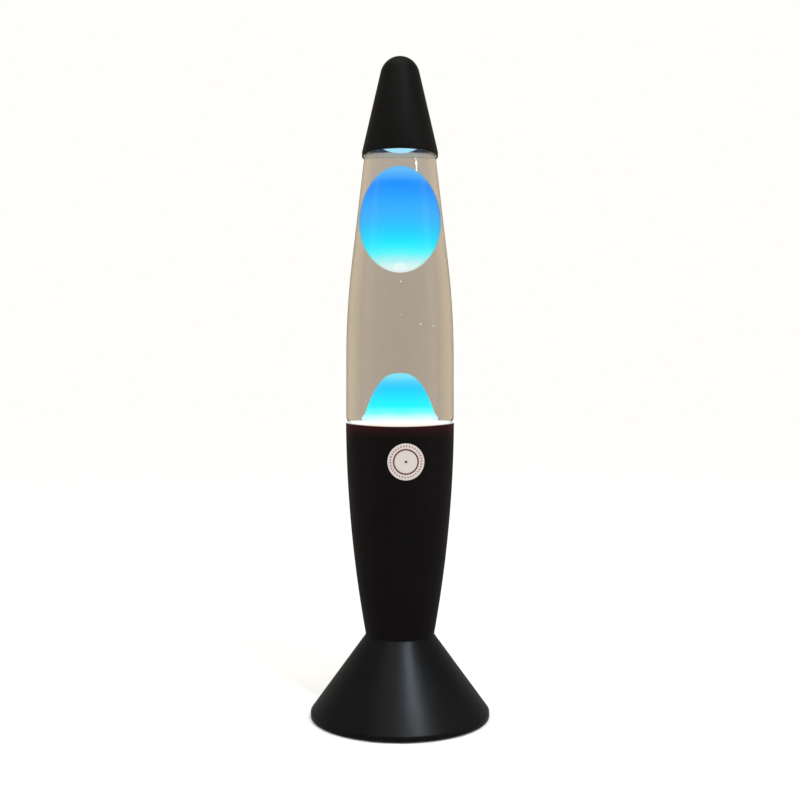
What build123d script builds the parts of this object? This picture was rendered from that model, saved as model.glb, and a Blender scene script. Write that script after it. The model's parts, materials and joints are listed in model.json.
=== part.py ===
from build123d import *
from math import asin, atan2, cos, degrees, hypot, radians, sin, sqrt, tan
import os

# A table lamp of the motion kind: a bulb in a cup heats a globe of liquid and coloured wax.
# Millimetres, +Z up, the origin on the table in the middle of the lamp. The cord leaves at +Y.
# Every piece is made on the Z axis, and its outline is drawn as radius and height on Plane.XZ.

# ---- Clearances ----
fit_gap = 0.05  # between pieces of one body that touch
free_gap = 0.3  # between pieces that lift apart

# ---- Cone-shaped base ----
foot_height = 2.0
rim_above_table = 0.8
cone_rim_radius = 45.9
cone_rim_band = 2.4  # upright band at the lower edge
cone_height = 41.2  # lower edge to flat top
waist_radius = 17.6  # where the cup stands on the cone
cone_wall = 1.2
waist_edge_radius = 0.8

# ---- Bottom plate, its brackets, screws and feet ----
plate_thickness = 1.5
bracket_thickness = 1.2
bracket_width = 8.0
bracket_rise = 8.0
bracket_angles = (60, 180, 300)
plate_screw_radius = 1.5
plate_screw_head_radius = 2.8
plate_screw_head_height = 1.4
plate_screw_length = 5.5
feet_count = 6
foot_radius = 5.0
vent_count = 8
vent_radius = 2.5
vent_circle_radius = 19.0

# ---- Cord inlet ----
inlet_height = 12.0
inlet_hole_radius = 5.0
inlet_bore_radius = 3.2
inlet_flange_radius = 6.8
inlet_flange_thickness = 1.4

# ---- Threaded pipe that clamps cone and cup ----
pipe_radius = 5.0
pipe_bore_radius = 3.75
pipe_end = 1.0  # thread that shows past each nut
lower_pipe_end = 2.5
nut_across_flats = 14.0
nut_thickness = 3.0
washer_radius = 8.2
washer_thickness = 0.8
earth_tab_length = 13.0
earth_tab_width = 6.0

# ---- Cup ----
cup_rim_radius = 27.9
cup_bulge = 2.33  # how far the side stands out from the straight line between waist and rim
cup_wall = 1.2

# ---- Lamp holder ----
strap_thickness = 1.5
strap_width = 14.0
lead_space = 5.0  # over the pipe, where the leads turn outwards
holder_radius = 13.0
holder_height = 26.0
holder_floor = 2.0
holder_bore_radius = 8.2
holder_mouth_radius = 9.6
holder_screw_radius = 1.3
holder_screw_head_radius = 2.2
holder_screw_offset = 9.7
spring_rise = 2.0  # height of the centre contact over the holder's floor
spring_thickness = 0.5
spring_width = 5.0
terminal_size = 5.0
terminal_depth = 2.8
terminal_screw_radius = 1.8
shell_sheet = 0.4

# ---- Bulb with a 14 mm screw cap ----
thread_pitch = 2.822
thread_crest_radius = 6.95
thread_depth = 0.8
thread_clearance = 0.15
bulb_turns = 4.5
bulb_length = 52.0
bulb_radius = 12.0
bulb_glass_wall = 0.6
cap_length = 21.0  # tip of the centre contact to the shell's upper edge
bulb_headroom = 3.5  # left under the globe by a bulb that is screwed all the way out

# ---- Leads inside ----
lead_radius = 0.9
lead_offset = 1.9  # of each lead from the middle of the pipe
splice_radius = 3.2
splice_length = 14.0
splice_offset = 10.0
splice_start = 17.0

# ---- Globe ----
globe_foot_depth = 23.9  # how far it stands in the cup
globe_wall = 2.2
rim_overhang = 0.2  # the cup's rim outside the globe's side
heel_rise = 3.3  # centre of the rounded heel over the cup's rim
heel_radius = 4.0
heel_turn = 55.0
step_radius = 3.0
foot_taper = 10.0
foot_corner_radius = 5.0
straight_length = 30.8
side_curve_radius = 410.0
side_taper = 6.65
taper_length = 57.4
shoulder_radius = 3.0
shoulder_turn = 85.0
throat_radius = 1.0
neck_radius = 12.6
bead_radius = 13.3
bead_height = 3.4
seat_height = 8.0
seat_drop = 1.9  # from the rim to the seat ring

# ---- Crown cap of the globe ----
neck_height = 6.7  # from the throat to the sealing edge
liner_thickness = 0.5
crown_sheet = 0.4
crown_skirt_radius = 16.0
crown_skirt_height = 5.6
crown_top_radius = 12.9

# ---- Liquid and wax ----
neck_air_gap = 2.6
pool_above_rim = 1.3  # the pool's level over the cup's rim
mound_height = 24.35
mound_radius = 14.4
blob_radius = 15.6
blob_upper_height = 28.5
blob_lower_height = 26.2
blob_height = 102.25  # its widest circle over the cup's rim
top_wax_radius = 9.4
top_wax_height = 5.5
top_wax_drop = 1.2  # of its lowest point under the globe's shoulder
coil_radius = 15.5
coil_wire_radius = 0.6
coil_pitch = 2.0
coil_turns = 2.5

# ---- Cap on top ----
cap_drop = 1.2  # its edge under the globe's shoulder
cap_wall = 0.9
cap_band = 2.2
cap_height = 51.7
cap_nose_radius = 10.3

# ---- Label on the cup ----
label_radius = 9.1
label_thickness = 0.12
label_height = 18.6  # its centre under the cup's rim
label_shift = 2.9

# ---- Heights worked out from the sizes above ----
cone_top = rim_above_table + cone_height
cup_floor = cone_top + cup_wall
strap_bottom = cup_floor + washer_thickness
nut_bottom = strap_bottom + strap_thickness
pipe_top = nut_bottom + nut_thickness + pipe_end
cone_ceiling = cone_top - cone_wall
lower_nut_top = cone_ceiling - washer_thickness
pipe_bottom = lower_nut_top - nut_thickness - lower_pipe_end
holder_bottom = pipe_top + lead_space
holder_top = holder_bottom + holder_height
well_floor = holder_bottom + holder_floor
bulb_tip = well_floor + spring_rise + free_gap
bulb_top = bulb_tip + bulb_length
bulb_travel = bulb_turns * thread_pitch
globe_foot = bulb_top + bulb_travel + bulb_headroom
cup_rim = globe_foot + globe_foot_depth
plate_top = foot_height + plate_thickness

# ---- The cone's slanted side ----
band_top = rim_above_table + cone_rim_band
side_run = (cone_rim_radius - waist_radius) / (cone_top - band_top)  # radius lost for each mm of height
side_lean = degrees(atan2(side_run, 1))
level_wall = cone_wall * sqrt(1 + side_run**2)  # the wall measured level


def cone_radius(height, inset=0.0):
    """Radius of the cone's slanted side at a height, moved in by a level distance."""
    return cone_rim_radius - side_run * (height - band_top) - inset


# ---- The globe's side ----
body_radius = cup_rim_radius - rim_overhang
heel_height = cup_rim + heel_rise
side_top = heel_height + straight_length
shoulder_height = side_top + side_curve_radius * sin(radians(side_taper)) + taper_length * cos(radians(side_taper))
shoulder_side = (
    body_radius
    - side_curve_radius * (1 - cos(radians(side_taper)))
    - taper_length * sin(radians(side_taper))
)
ledge_length = (
    shoulder_side
    - neck_radius
    - shoulder_radius * (cos(radians(side_taper)) - cos(radians(shoulder_turn)))
    - throat_radius * (1 - cos(radians(shoulder_turn)))
) / sin(radians(shoulder_turn))
neck_bottom = (
    shoulder_height
    + shoulder_radius * (sin(radians(shoulder_turn)) - sin(radians(side_taper)))
    + ledge_length * cos(radians(shoulder_turn))
    + throat_radius * sin(radians(shoulder_turn))
)
neck_top = neck_bottom + neck_height
step_bottom = (
    heel_height
    - heel_radius * sin(radians(heel_turn))
    - step_radius * (sin(radians(heel_turn)) - sin(radians(foot_taper)))
)
step_side = (
    body_radius
    - heel_radius * (1 - cos(radians(heel_turn)))
    - step_radius * (cos(radians(foot_taper)) - cos(radians(heel_turn)))
)
foot_corner_top = globe_foot + foot_corner_radius * (1 - sin(radians(foot_taper)))
foot_side_length = (step_bottom - foot_corner_top) / cos(radians(foot_taper))
inner_floor = globe_foot + globe_wall


def globe_outline(inset, top):
    """Closed half-outline of the globe up to a height in its neck, moved in by inset."""
    body = body_radius - inset
    heel = JernArc((body, heel_height), (0, -1), heel_radius - inset, -heel_turn)
    step = JernArc(heel @ 1, heel % 1, step_radius + inset, heel_turn - foot_taper)
    foot_side = Line(step @ 1, step @ 1 + (step % 1) * foot_side_length)
    corner = JernArc(foot_side @ 1, foot_side % 1, foot_corner_radius - inset, foot_taper - 90)
    straight = Line((body, heel_height), (body, side_top))
    curve = JernArc(straight @ 1, (0, 1), side_curve_radius - inset, side_taper)
    taper = Line(curve @ 1, curve @ 1 + (curve % 1) * taper_length)
    shoulder = JernArc(taper @ 1, taper % 1, shoulder_radius - inset, shoulder_turn - side_taper)
    ledge = Line(shoulder @ 1, shoulder @ 1 + (shoulder % 1) * ledge_length)
    throat = JernArc(ledge @ 1, ledge % 1, throat_radius + inset, -shoulder_turn)
    Polyline(throat @ 1, (neck_radius - inset, top), (0, top), (0, globe_foot + inset), corner @ 1)


# ---- The cup's side ----
def cup_outline(inset, floor):
    """Closed half-outline of the cup from a floor up to its rim, its side moved in by inset."""
    side = SagittaArc((waist_radius - inset, floor), (cup_rim_radius - inset, cup_rim), -cup_bulge)
    Polyline(side @ 1, (0, cup_rim), (0, floor), side @ 0)


# ---- The top cap ----
cap_rim = shoulder_height - cap_drop
cap_top = cap_rim + cap_height
cap_rim_radius = shoulder_side + cap_drop * tan(radians(side_taper)) + free_gap + cap_wall
nose_centre = cap_top - cap_nose_radius


def cap_outline(inset):
    """Closed half-outline of the cap, moved in by inset: a band, a cone and a round nose."""
    edge = cap_rim_radius - inset
    nose = cap_nose_radius - inset
    rise = nose_centre - cap_rim - cap_band
    reach = hypot(edge, rise)
    lean = atan2(edge, rise) - asin(nose / reach)
    side_length = sqrt(reach**2 - nose**2)
    band = Line((edge, cap_rim), (edge, cap_rim + cap_band))
    side = Line(band @ 1, (edge - side_length * sin(lean), cap_rim + cap_band + side_length * cos(lean)))
    tip = JernArc(side @ 1, side % 1, nose, 90 - degrees(lean))
    Polyline(tip @ 1, (0, cap_rim), band @ 0)


# ---- Wax shapes ----
round_handle = 4 / 3 * (sqrt(2) - 1)  # handle length that makes a Bezier curve a quarter of an ellipse
pool_top = cup_rim + pool_above_rim
blob_centre = cup_rim + blob_height
liquid_top = neck_top - neck_air_gap
top_wax_low = shoulder_height - top_wax_drop
top_wax_centre = top_wax_low + top_wax_height


def mound_outline(grow):
    """Closed half-outline of the pool and the mound that rises from it, made larger by grow."""
    level = pool_top + grow
    side = mound_radius + grow
    mound = Bezier(
        (0, level + mound_height),
        (0.6 * side, level + mound_height),
        (side, level + 0.25 * mound_height),
        (side, level),
    )
    Polyline(mound @ 1, (body_radius, level), (body_radius, globe_foot), (0, globe_foot), mound @ 0)


def blob_outline(grow):
    """Closed half-outline of the risen blob, a little longer above its widest circle than below."""
    side = blob_radius + grow
    low = blob_centre - blob_lower_height - grow
    high = blob_centre + blob_upper_height + grow
    low_handle = blob_centre - round_handle * (blob_lower_height + grow)
    high_handle = blob_centre + round_handle * (blob_upper_height + grow)
    lower = Bezier((0, low), (round_handle * side, low), (side, low_handle), (side, blob_centre))
    upper = Bezier(lower @ 1, (side, high_handle), (round_handle * side, high), (0, high))
    Line(upper @ 1, lower @ 0)


def top_wax_outline(grow):
    """Closed half-outline of the wax that hangs in the neck."""
    low = EllipticalCenterArc((0, top_wax_centre), top_wax_radius + grow, top_wax_height + grow, -90)
    Polyline(low @ 1, (top_wax_radius + grow, liquid_top), (0, liquid_top), low @ 0)


def upright_plane(angle):
    """Plane through the Z axis whose x runs outwards at an angle and whose y is up."""
    turn = radians(angle)
    return Plane(origin=(0, 0, 0), x_dir=(cos(turn), sin(turn), 0), z_dir=(sin(turn), -cos(turn), 0))


# ==== Base ====
inlet_plane = Plane(
    origin=(0, cone_radius(inlet_height), inlet_height),
    x_dir=(1, 0, 0),
    z_dir=(0, cos(radians(side_lean)), sin(radians(side_lean))),
)
pipe_hole_radius = pipe_radius + fit_gap

with BuildPart() as base_cone:
    with BuildSketch(Plane.XZ):
        with BuildLine():
            Polyline(
                (0, rim_above_table),
                (cone_rim_radius, rim_above_table),
                (cone_rim_radius, band_top),
                (waist_radius, cone_top),
                (0, cone_top),
                close=True,
            )
        make_face()
        with BuildLine():
            inner_band_top = band_top - (level_wall - cone_wall) / side_run
            Polyline(
                (0, rim_above_table),
                (cone_rim_radius - cone_wall, rim_above_table),
                (cone_rim_radius - cone_wall, inner_band_top),
                (cone_radius(cone_ceiling, level_wall), cone_ceiling),
                (0, cone_ceiling),
                close=True,
            )
        make_face(mode=Mode.SUBTRACT)
    revolve(axis=Axis.Z)
    waist_edge = base_cone.edges().filter_by(GeomType.CIRCLE).group_by(Axis.Z)[-1]
    fillet(waist_edge, waist_edge_radius)
    band_edges = base_cone.edges().filter_by(GeomType.CIRCLE).filter_by(
        lambda edge: abs(edge.radius - cone_rim_radius) < fit_gap
    )
    fillet(band_edges, cone_wall / 2)
    with Locations((0, 0, cone_top)):
        Hole(pipe_hole_radius, depth=2 * cone_wall)
    with BuildSketch(inlet_plane):
        Circle(inlet_hole_radius)
    extrude(amount=2 * level_wall, both=True, mode=Mode.SUBTRACT)

with BuildPart() as cord_grommet:
    with BuildSketch(inlet_plane.offset(-cone_wall - inlet_flange_thickness)):
        Circle(inlet_flange_radius)
        Circle(inlet_bore_radius, mode=Mode.SUBTRACT)
    extrude(amount=cone_wall + 2 * inlet_flange_thickness)
    flange_edges = cord_grommet.edges().filter_by(GeomType.CIRCLE)
    fillet(flange_edges, inlet_flange_thickness / 3)
    add(base_cone.part, mode=Mode.SUBTRACT)

plate_radius = cone_radius(plate_top, level_wall) - free_gap
bracket_reach = cone_radius(plate_top, level_wall) - 11.0
plate_screw_circle = bracket_reach + 4.0
feet_circle = plate_radius - foot_radius - 1.0
screw_angles = [upright_plane(angle) for angle in bracket_angles]
screw_spots = [plane.x_dir * plate_screw_circle for plane in screw_angles]

with BuildPart() as base_plate:
    with BuildSketch(Plane.XY.offset(foot_height)):
        Circle(plate_radius)
        with PolarLocations(vent_circle_radius, vent_count):
            Circle(vent_radius, mode=Mode.SUBTRACT)
        with Locations(*screw_spots):
            Circle(plate_screw_radius + fit_gap, mode=Mode.SUBTRACT)
    extrude(amount=plate_thickness)
    plate_edge = base_plate.edges().filter_by(GeomType.CIRCLE).sort_by(SortBy.RADIUS)[-2:]
    fillet(plate_edge, plate_thickness / 3)

with BuildPart() as plate_brackets:
    for angle in bracket_angles:
        with BuildSketch(upright_plane(angle)):
            with BuildLine():
                bend = plate_top + bracket_thickness
                top = plate_top + bracket_rise
                Polyline(
                    (bracket_reach, plate_top),
                    (cone_radius(plate_top, level_wall) - free_gap, plate_top),
                    (cone_radius(plate_top, level_wall), plate_top + free_gap),
                    (cone_radius(top, level_wall), top),
                    (cone_radius(top, level_wall) - bracket_thickness, top),
                    (cone_radius(bend, level_wall) - bracket_thickness, bend),
                    (bracket_reach, bend),
                    close=True,
                )
            make_face()
        extrude(amount=bracket_width / 2, both=True)
    with BuildSketch(Plane.XY.offset(plate_top)):
        with Locations(*screw_spots):
            Circle(plate_screw_radius + fit_gap)
    extrude(amount=bracket_thickness, mode=Mode.SUBTRACT)
    add(base_cone.part, mode=Mode.SUBTRACT)

with BuildPart() as plate_screws:
    with BuildSketch(Plane.XY.offset(foot_height)):
        with Locations(*screw_spots):
            Circle(plate_screw_radius)
    extrude(amount=plate_screw_length)
    with BuildSketch(Plane.XY.offset(foot_height)):
        with Locations(*screw_spots):
            Circle(plate_screw_head_radius)
    extrude(amount=-plate_screw_head_height)
    head_edges = plate_screws.edges().filter_by(GeomType.CIRCLE).group_by(Axis.Z)[0]
    fillet(head_edges, plate_screw_head_height / 3)
    with BuildSketch(Plane.XY.offset(foot_height - plate_screw_head_height)):
        with Locations(*screw_spots):
            Rectangle(0.7, 2.4)
            Rectangle(2.4, 0.7)
    extrude(amount=plate_screw_head_height / 2, mode=Mode.SUBTRACT)

with BuildPart() as rubber_feet:
    with BuildSketch():
        with PolarLocations(feet_circle, feet_count, start_angle=30):
            Circle(foot_radius)
    extrude(amount=foot_height)
    tread_edges = rubber_feet.edges().filter_by(GeomType.CIRCLE).group_by(Axis.Z)[0]
    fillet(tread_edges, foot_height / 4)

# ==== Pipe, nuts and earth ====
with BuildPart() as lamp_pipe:
    with BuildSketch(Plane.XY.offset(pipe_bottom)):
        Circle(pipe_radius)
        Circle(pipe_bore_radius, mode=Mode.SUBTRACT)
    extrude(amount=pipe_top - pipe_bottom)
    pipe_edges = lamp_pipe.edges().filter_by(GeomType.CIRCLE).filter_by(
        lambda edge: abs(edge.radius - pipe_radius) < fit_gap
    )
    chamfer(pipe_edges, pipe_end / 2)

nut_corner_radius = nut_across_flats / 2 / cos(radians(30))

with BuildPart() as pipe_nuts:
    for nut_floor in (lower_nut_top - nut_thickness, nut_bottom):
        with BuildSketch(Plane.XY.offset(nut_floor)):
            RegularPolygon(nut_corner_radius, 6)
            Circle(pipe_hole_radius, mode=Mode.SUBTRACT)
        extrude(amount=nut_thickness)

with BuildPart() as lock_washer:
    with BuildSketch(Plane.XY.offset(cup_floor)):
        Circle(washer_radius)
        with PolarLocations(washer_radius, 12):
            Circle(washer_thickness, mode=Mode.SUBTRACT)
        Circle(pipe_hole_radius, mode=Mode.SUBTRACT)
    extrude(amount=washer_thickness)

with BuildPart() as earth_tag:
    with BuildSketch(Plane.XY.offset(lower_nut_top)):
        Circle(washer_radius)
        with Locations((0, -earth_tab_length / 2)):
            Rectangle(earth_tab_width, earth_tab_length)
        Circle(pipe_hole_radius, mode=Mode.SUBTRACT)
    extrude(amount=washer_thickness)
    with BuildSketch(Plane.XY.offset(lower_nut_top)):
        with Locations((0, -earth_tab_length + washer_thickness / 2)):
            Rectangle(earth_tab_width, washer_thickness)
    extrude(amount=-earth_tab_width)

# ==== Cup ====
with BuildPart() as base_cup:
    with BuildSketch(Plane.XZ):
        with BuildLine():
            cup_outline(0, cone_top)
        make_face()
        with BuildLine():
            cup_outline(cup_wall, cup_floor)
        make_face(mode=Mode.SUBTRACT)
    revolve(axis=Axis.Z)
    foot_edge = base_cup.edges().filter_by(GeomType.CIRCLE).group_by(Axis.Z)[0]
    fillet(foot_edge, waist_edge_radius)
    rim_edges = base_cup.edges().filter_by(GeomType.CIRCLE).group_by(Axis.Z)[-1]
    fillet(rim_edges, cup_wall / 3)
    with Locations((0, 0, cup_floor)):
        Hole(pipe_hole_radius, depth=2 * cup_wall)

with BuildPart() as label_disc:
    with BuildSketch(Plane.XZ):
        with BuildLine():
            cup_outline(-label_thickness - fit_gap, cone_top)
        make_face()
        with BuildLine():
            cup_outline(-fit_gap, cone_top)
        make_face(mode=Mode.SUBTRACT)
    revolve(axis=Axis.Z)
    with BuildSketch(Plane.XZ):
        with Locations((label_shift, cup_rim - label_height)):
            Circle(label_radius)
    extrude(amount=2 * cup_rim_radius, mode=Mode.INTERSECT)

seat_top = cup_rim - seat_drop
seat_bottom = seat_top - seat_height


def foot_side_radius(height):
    """Radius of the globe's tapered foot at a height."""
    return step_side - (step_bottom - height) * tan(radians(foot_taper))


seat_outside = cup_rim_radius - cup_wall - 3 * fit_gap

with BuildPart() as globe_seat_ring:
    with BuildSketch(Plane.XZ):
        with BuildLine():
            Polyline(
                (foot_side_radius(seat_top) + free_gap, seat_top),
                (seat_outside, seat_top),
                (seat_outside, seat_bottom),
                (foot_side_radius(seat_bottom) + free_gap, seat_bottom),
                close=True,
            )
        make_face()
    revolve(axis=Axis.Z)
    add(base_cup.part, mode=Mode.SUBTRACT)

# ==== Lamp holder ====
strap_reach = holder_radius + 0.5
flange_bottom = holder_bottom - strap_thickness

with BuildPart() as holder_bracket:
    with BuildSketch(Plane.YZ):
        with BuildLine():
            Polyline(
                (-strap_reach, holder_bottom),
                (-strap_reach, strap_bottom),
                (strap_reach, strap_bottom),
                (strap_reach, holder_bottom),
                (holder_screw_offset - 3, holder_bottom),
                (holder_screw_offset - 3, flange_bottom),
                (strap_reach - strap_thickness, flange_bottom),
                (strap_reach - strap_thickness, nut_bottom),
                (strap_thickness - strap_reach, nut_bottom),
                (strap_thickness - strap_reach, flange_bottom),
                (3 - holder_screw_offset, flange_bottom),
                (3 - holder_screw_offset, holder_bottom),
                close=True,
            )
        make_face()
    extrude(amount=strap_width / 2, both=True)
    with BuildSketch(Plane.XY.offset(strap_bottom)):
        Circle(pipe_hole_radius)
        with Locations((0, holder_screw_offset), (0, -holder_screw_offset)):
            Circle(holder_screw_radius + fit_gap)
    extrude(amount=holder_bottom - strap_bottom, mode=Mode.SUBTRACT)

with BuildPart() as holder_bracket_screws:
    with BuildSketch(Plane.XY.offset(flange_bottom)):
        with Locations((0, holder_screw_offset), (0, -holder_screw_offset)):
            Circle(holder_screw_radius)
    extrude(amount=strap_thickness + 4 * holder_screw_radius)
    with BuildSketch(Plane.XY.offset(flange_bottom)):
        with Locations((0, holder_screw_offset), (0, -holder_screw_offset)):
            Circle(holder_screw_head_radius)
    extrude(amount=-holder_screw_radius)

shell_bottom = well_floor + 4.5
shell_top = holder_top - 5.0
terminal_inside = holder_bore_radius + 1.2
terminal_bottom = holder_bottom + 1.0

with BuildPart() as holder_body:
    with BuildSketch(Plane.XZ):
        with BuildLine():
            Polyline(
                (0, holder_bottom),
                (holder_radius, holder_bottom),
                (holder_radius, holder_top),
                (holder_mouth_radius, holder_top),
                (holder_bore_radius, holder_top - 3),
                (holder_bore_radius, well_floor),
                (0, well_floor),
                close=True,
            )
        make_face()
    revolve(axis=Axis.Z)
    glazed_edges = holder_body.edges().filter_by(GeomType.CIRCLE).filter_by(
        lambda edge: abs(edge.radius - holder_radius) < fit_gap
    )
    fillet(glazed_edges, 1.0)
    with BuildSketch(Plane.XY.offset(holder_bottom)):
        with Locations((holder_radius, 0), (-holder_radius, 0)):
            Rectangle(2 * (holder_radius - terminal_inside), terminal_size + 1.5)
    extrude(amount=terminal_size + 2.5, mode=Mode.SUBTRACT)
    with BuildSketch(Plane.XY.offset(well_floor)):
        with Locations((terminal_inside / 2, 0)):
            Rectangle(terminal_inside, spring_width + 0.4)
    extrude(amount=spring_thickness + fit_gap, mode=Mode.SUBTRACT)
    with BuildSketch(Plane.XY.offset(shell_bottom - fit_gap)):
        with Locations((-terminal_inside / 2, 0)):
            Rectangle(terminal_inside, spring_width + 0.4)
    extrude(amount=spring_thickness + 2 * fit_gap, mode=Mode.SUBTRACT)
    with BuildSketch(Plane.XY.offset(holder_bottom)):
        with Locations((0, holder_screw_offset), (0, -holder_screw_offset)):
            Circle(holder_screw_radius + fit_gap)
    extrude(amount=5 * holder_screw_radius, mode=Mode.SUBTRACT)

with BuildPart() as holder_contact:
    with BuildSketch(Plane.XZ):
        with BuildLine():
            crest = well_floor + spring_rise
            low = well_floor + spring_thickness
            Polyline(
                (terminal_inside, well_floor),
                (terminal_inside, low),
                (4.5, low),
                (2.0, crest),
                (-2.0, crest),
                (-4.5, low),
                (-4.5, well_floor),
                (-3.5, well_floor),
                (-1.6, crest - spring_thickness),
                (1.6, crest - spring_thickness),
                (4.1, well_floor),
                close=True,
            )
        make_face()
    extrude(amount=spring_width / 2, both=True)

holder_shell_radius = thread_crest_radius + thread_clearance
thread_rows = int((shell_top - shell_bottom - 2.5) / thread_pitch)

with BuildPart() as holder_shell:
    with BuildSketch(Plane.XZ):
        with BuildLine():
            Polyline(
                (holder_shell_radius, shell_bottom),
                (holder_shell_radius + shell_sheet, shell_bottom),
                (holder_shell_radius + shell_sheet, shell_top),
                (holder_shell_radius, shell_top),
                close=True,
            )
        make_face()
        groove_rows = [shell_bottom + 3 + row * thread_pitch for row in range(thread_rows)]
        with Locations(*[(holder_shell_radius + shell_sheet / 2, row) for row in groove_rows]):
            Circle(thread_depth / 2)
        with Locations(*[(holder_shell_radius, row) for row in groove_rows]):
            Circle(thread_depth / 4, mode=Mode.SUBTRACT)
        with BuildLine():
            Polyline(
                (0, shell_bottom - 1),
                (holder_shell_radius, shell_bottom - 1),
                (holder_shell_radius, shell_top + 1),
                (0, shell_top + 1),
                close=True,
            )
        make_face(mode=Mode.SUBTRACT)
    revolve(axis=Axis.Z)
    with BuildSketch(Plane.XY.offset(shell_bottom)):
        with Locations((-(terminal_inside + holder_shell_radius) / 2, 0)):
            Rectangle(terminal_inside - holder_shell_radius, spring_width)
        Circle(holder_shell_radius + shell_sheet / 2, mode=Mode.SUBTRACT)
    extrude(amount=spring_thickness)

with BuildPart() as holder_terminals:
    with BuildSketch(Plane.XY.offset(terminal_bottom)):
        reach = terminal_inside + terminal_depth / 2
        with Locations((reach, 0), (-reach, 0)):
            Rectangle(terminal_depth, terminal_size)
    extrude(amount=terminal_size + 1)

with BuildPart() as holder_terminal_screws:
    outside = terminal_inside + terminal_depth
    for side in (-1, 1):
        screw_plane = Plane(origin=(side * outside, 0, terminal_bottom + 3.5), z_dir=(side, 0, 0))
        with BuildSketch(screw_plane):
            Circle(terminal_screw_radius)
        extrude(amount=1.0)
        with BuildSketch(screw_plane.offset(0.5)):
            Rectangle(0.5, 2 * terminal_screw_radius)
        extrude(amount=0.5, mode=Mode.SUBTRACT)

# ==== Leads from the terminals down the pipe to the splices ====
lead_reach = terminal_inside + terminal_depth / 2
turn_height = holder_bottom - 3.0
splice_height = plate_top + splice_radius + 0.5


def lead_path(side):
    """Route of a lead, on the side given by -1 or 1, from its terminal to its splice."""
    return FilletPolyline(
        (side * lead_reach, 0, terminal_bottom),
        (side * lead_reach, 0, turn_height),
        (side * lead_offset, 0, turn_height - 0.4),
        (side * lead_offset, 0, pipe_bottom - 3),
        (side * (splice_offset - 2), 5, plate_top + 15),
        (side * splice_offset, splice_start - 4, splice_height),
        (side * splice_offset, splice_start + 5, splice_height),
        radius=(1.7, 1.7, 18, 14, 5),
    )


def lead_along(side):
    """Solid of a lead along its route."""
    with BuildPart() as lead:
        with BuildLine():
            route = lead_path(side)
        with BuildSketch(Plane(origin=route @ 0, z_dir=route % 0)):
            Circle(lead_radius)
        sweep(path=route)
    return lead


lead_live = lead_along(1)
lead_neutral = lead_along(-1)

with BuildPart() as splice_caps:
    for side in (-1, 1):
        splice_plane = Plane(
            origin=(side * splice_offset, splice_start, splice_height), x_dir=(1, 0, 0), z_dir=(0, 1, 0)
        )
        with BuildSketch(splice_plane):
            Circle(splice_radius)
        extrude(amount=splice_length)
    closed_ends = splice_caps.edges().filter_by(GeomType.CIRCLE).group_by(Axis.Y)[-1]
    fillet(closed_ends, splice_radius / 2)
    for side in (-1, 1):
        splice_plane = Plane(
            origin=(side * splice_offset, splice_start, splice_height), x_dir=(1, 0, 0), z_dir=(0, 1, 0)
        )
        with BuildSketch(splice_plane):
            Circle(lead_radius + fit_gap)
        extrude(amount=5, mode=Mode.SUBTRACT)

# ==== Bulb ====
shell_root_radius = thread_crest_radius - thread_depth
cap_top_edge = bulb_tip + cap_length
insulator_bottom = bulb_tip + 1.2
cap_shell_bottom = bulb_tip + 4.0

with BuildPart() as bulb_contact:
    with BuildSketch(Plane.XZ):
        with BuildLine():
            tip = ThreePointArc((0, bulb_tip), (1.8, bulb_tip + 0.3), (2.8, insulator_bottom - fit_gap))
            Polyline(tip @ 1, (0, insulator_bottom - fit_gap), tip @ 0)
        make_face()
    revolve(axis=Axis.Z)

with BuildPart() as bulb_insulator:
    with BuildSketch(Plane.XZ):
        with BuildLine():
            Polyline(
                (0, insulator_bottom),
                (3.8, insulator_bottom),
                (shell_root_radius, cap_shell_bottom),
                (0, cap_shell_bottom),
                close=True,
            )
        make_face()
    revolve(axis=Axis.Z)

cap_thread_rows = int((cap_length - 8) / thread_pitch) + 1

with BuildPart() as bulb_shell:
    with BuildSketch(Plane.XZ):
        with BuildLine():
            Polyline(
                (shell_root_radius - shell_sheet, cap_shell_bottom),
                (shell_root_radius, cap_shell_bottom),
                (shell_root_radius, cap_top_edge - 2),
                (thread_crest_radius, cap_top_edge - 1),
                (thread_crest_radius, cap_top_edge),
                (thread_crest_radius - shell_sheet, cap_top_edge),
                (thread_crest_radius - shell_sheet, cap_top_edge - 1),
                (shell_root_radius - shell_sheet, cap_top_edge - 2),
                close=True,
            )
        make_face()
        ridge_rows = [cap_shell_bottom + 1.4 + row * thread_pitch for row in range(cap_thread_rows)]
        with Locations(*[(shell_root_radius, row) for row in ridge_rows]):
            Circle(thread_depth)
        with BuildLine():
            Polyline(
                (0, cap_shell_bottom - 1),
                (shell_root_radius - shell_sheet, cap_shell_bottom - 1),
                (shell_root_radius - shell_sheet, cap_top_edge - 2),
                (0, cap_top_edge - 2),
                close=True,
            )
        make_face(mode=Mode.SUBTRACT)
    revolve(axis=Axis.Z)

bulb_neck_radius = shell_root_radius - shell_sheet - fit_gap
bulb_neck_bottom = cap_top_edge - 8
bulb_flare = 9.0


def bulb_outline(inset):
    """Closed half-outline of the bulb's glass: neck, flare, straight side and domed end."""
    neck = bulb_neck_radius - inset
    side = bulb_radius - inset
    flare_top = cap_top_edge + bulb_flare
    straight_top = bulb_top - bulb_radius
    flare = Spline(
        (neck, cap_top_edge - 2), (side, flare_top), tangents=((0.15, 1), (0, 1))
    )
    dome = CenterArc((0, straight_top), side, 0, 90)
    Line(flare @ 1, dome @ 0)
    Polyline(dome @ 1, (0, bulb_neck_bottom), (neck, bulb_neck_bottom), flare @ 0)


with BuildPart() as bulb_glass:
    with BuildSketch(Plane.XZ):
        with BuildLine():
            bulb_outline(0)
        make_face()
        with BuildLine():
            bulb_outline(bulb_glass_wall)
        make_face(mode=Mode.SUBTRACT)
    revolve(axis=Axis.Z)

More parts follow.
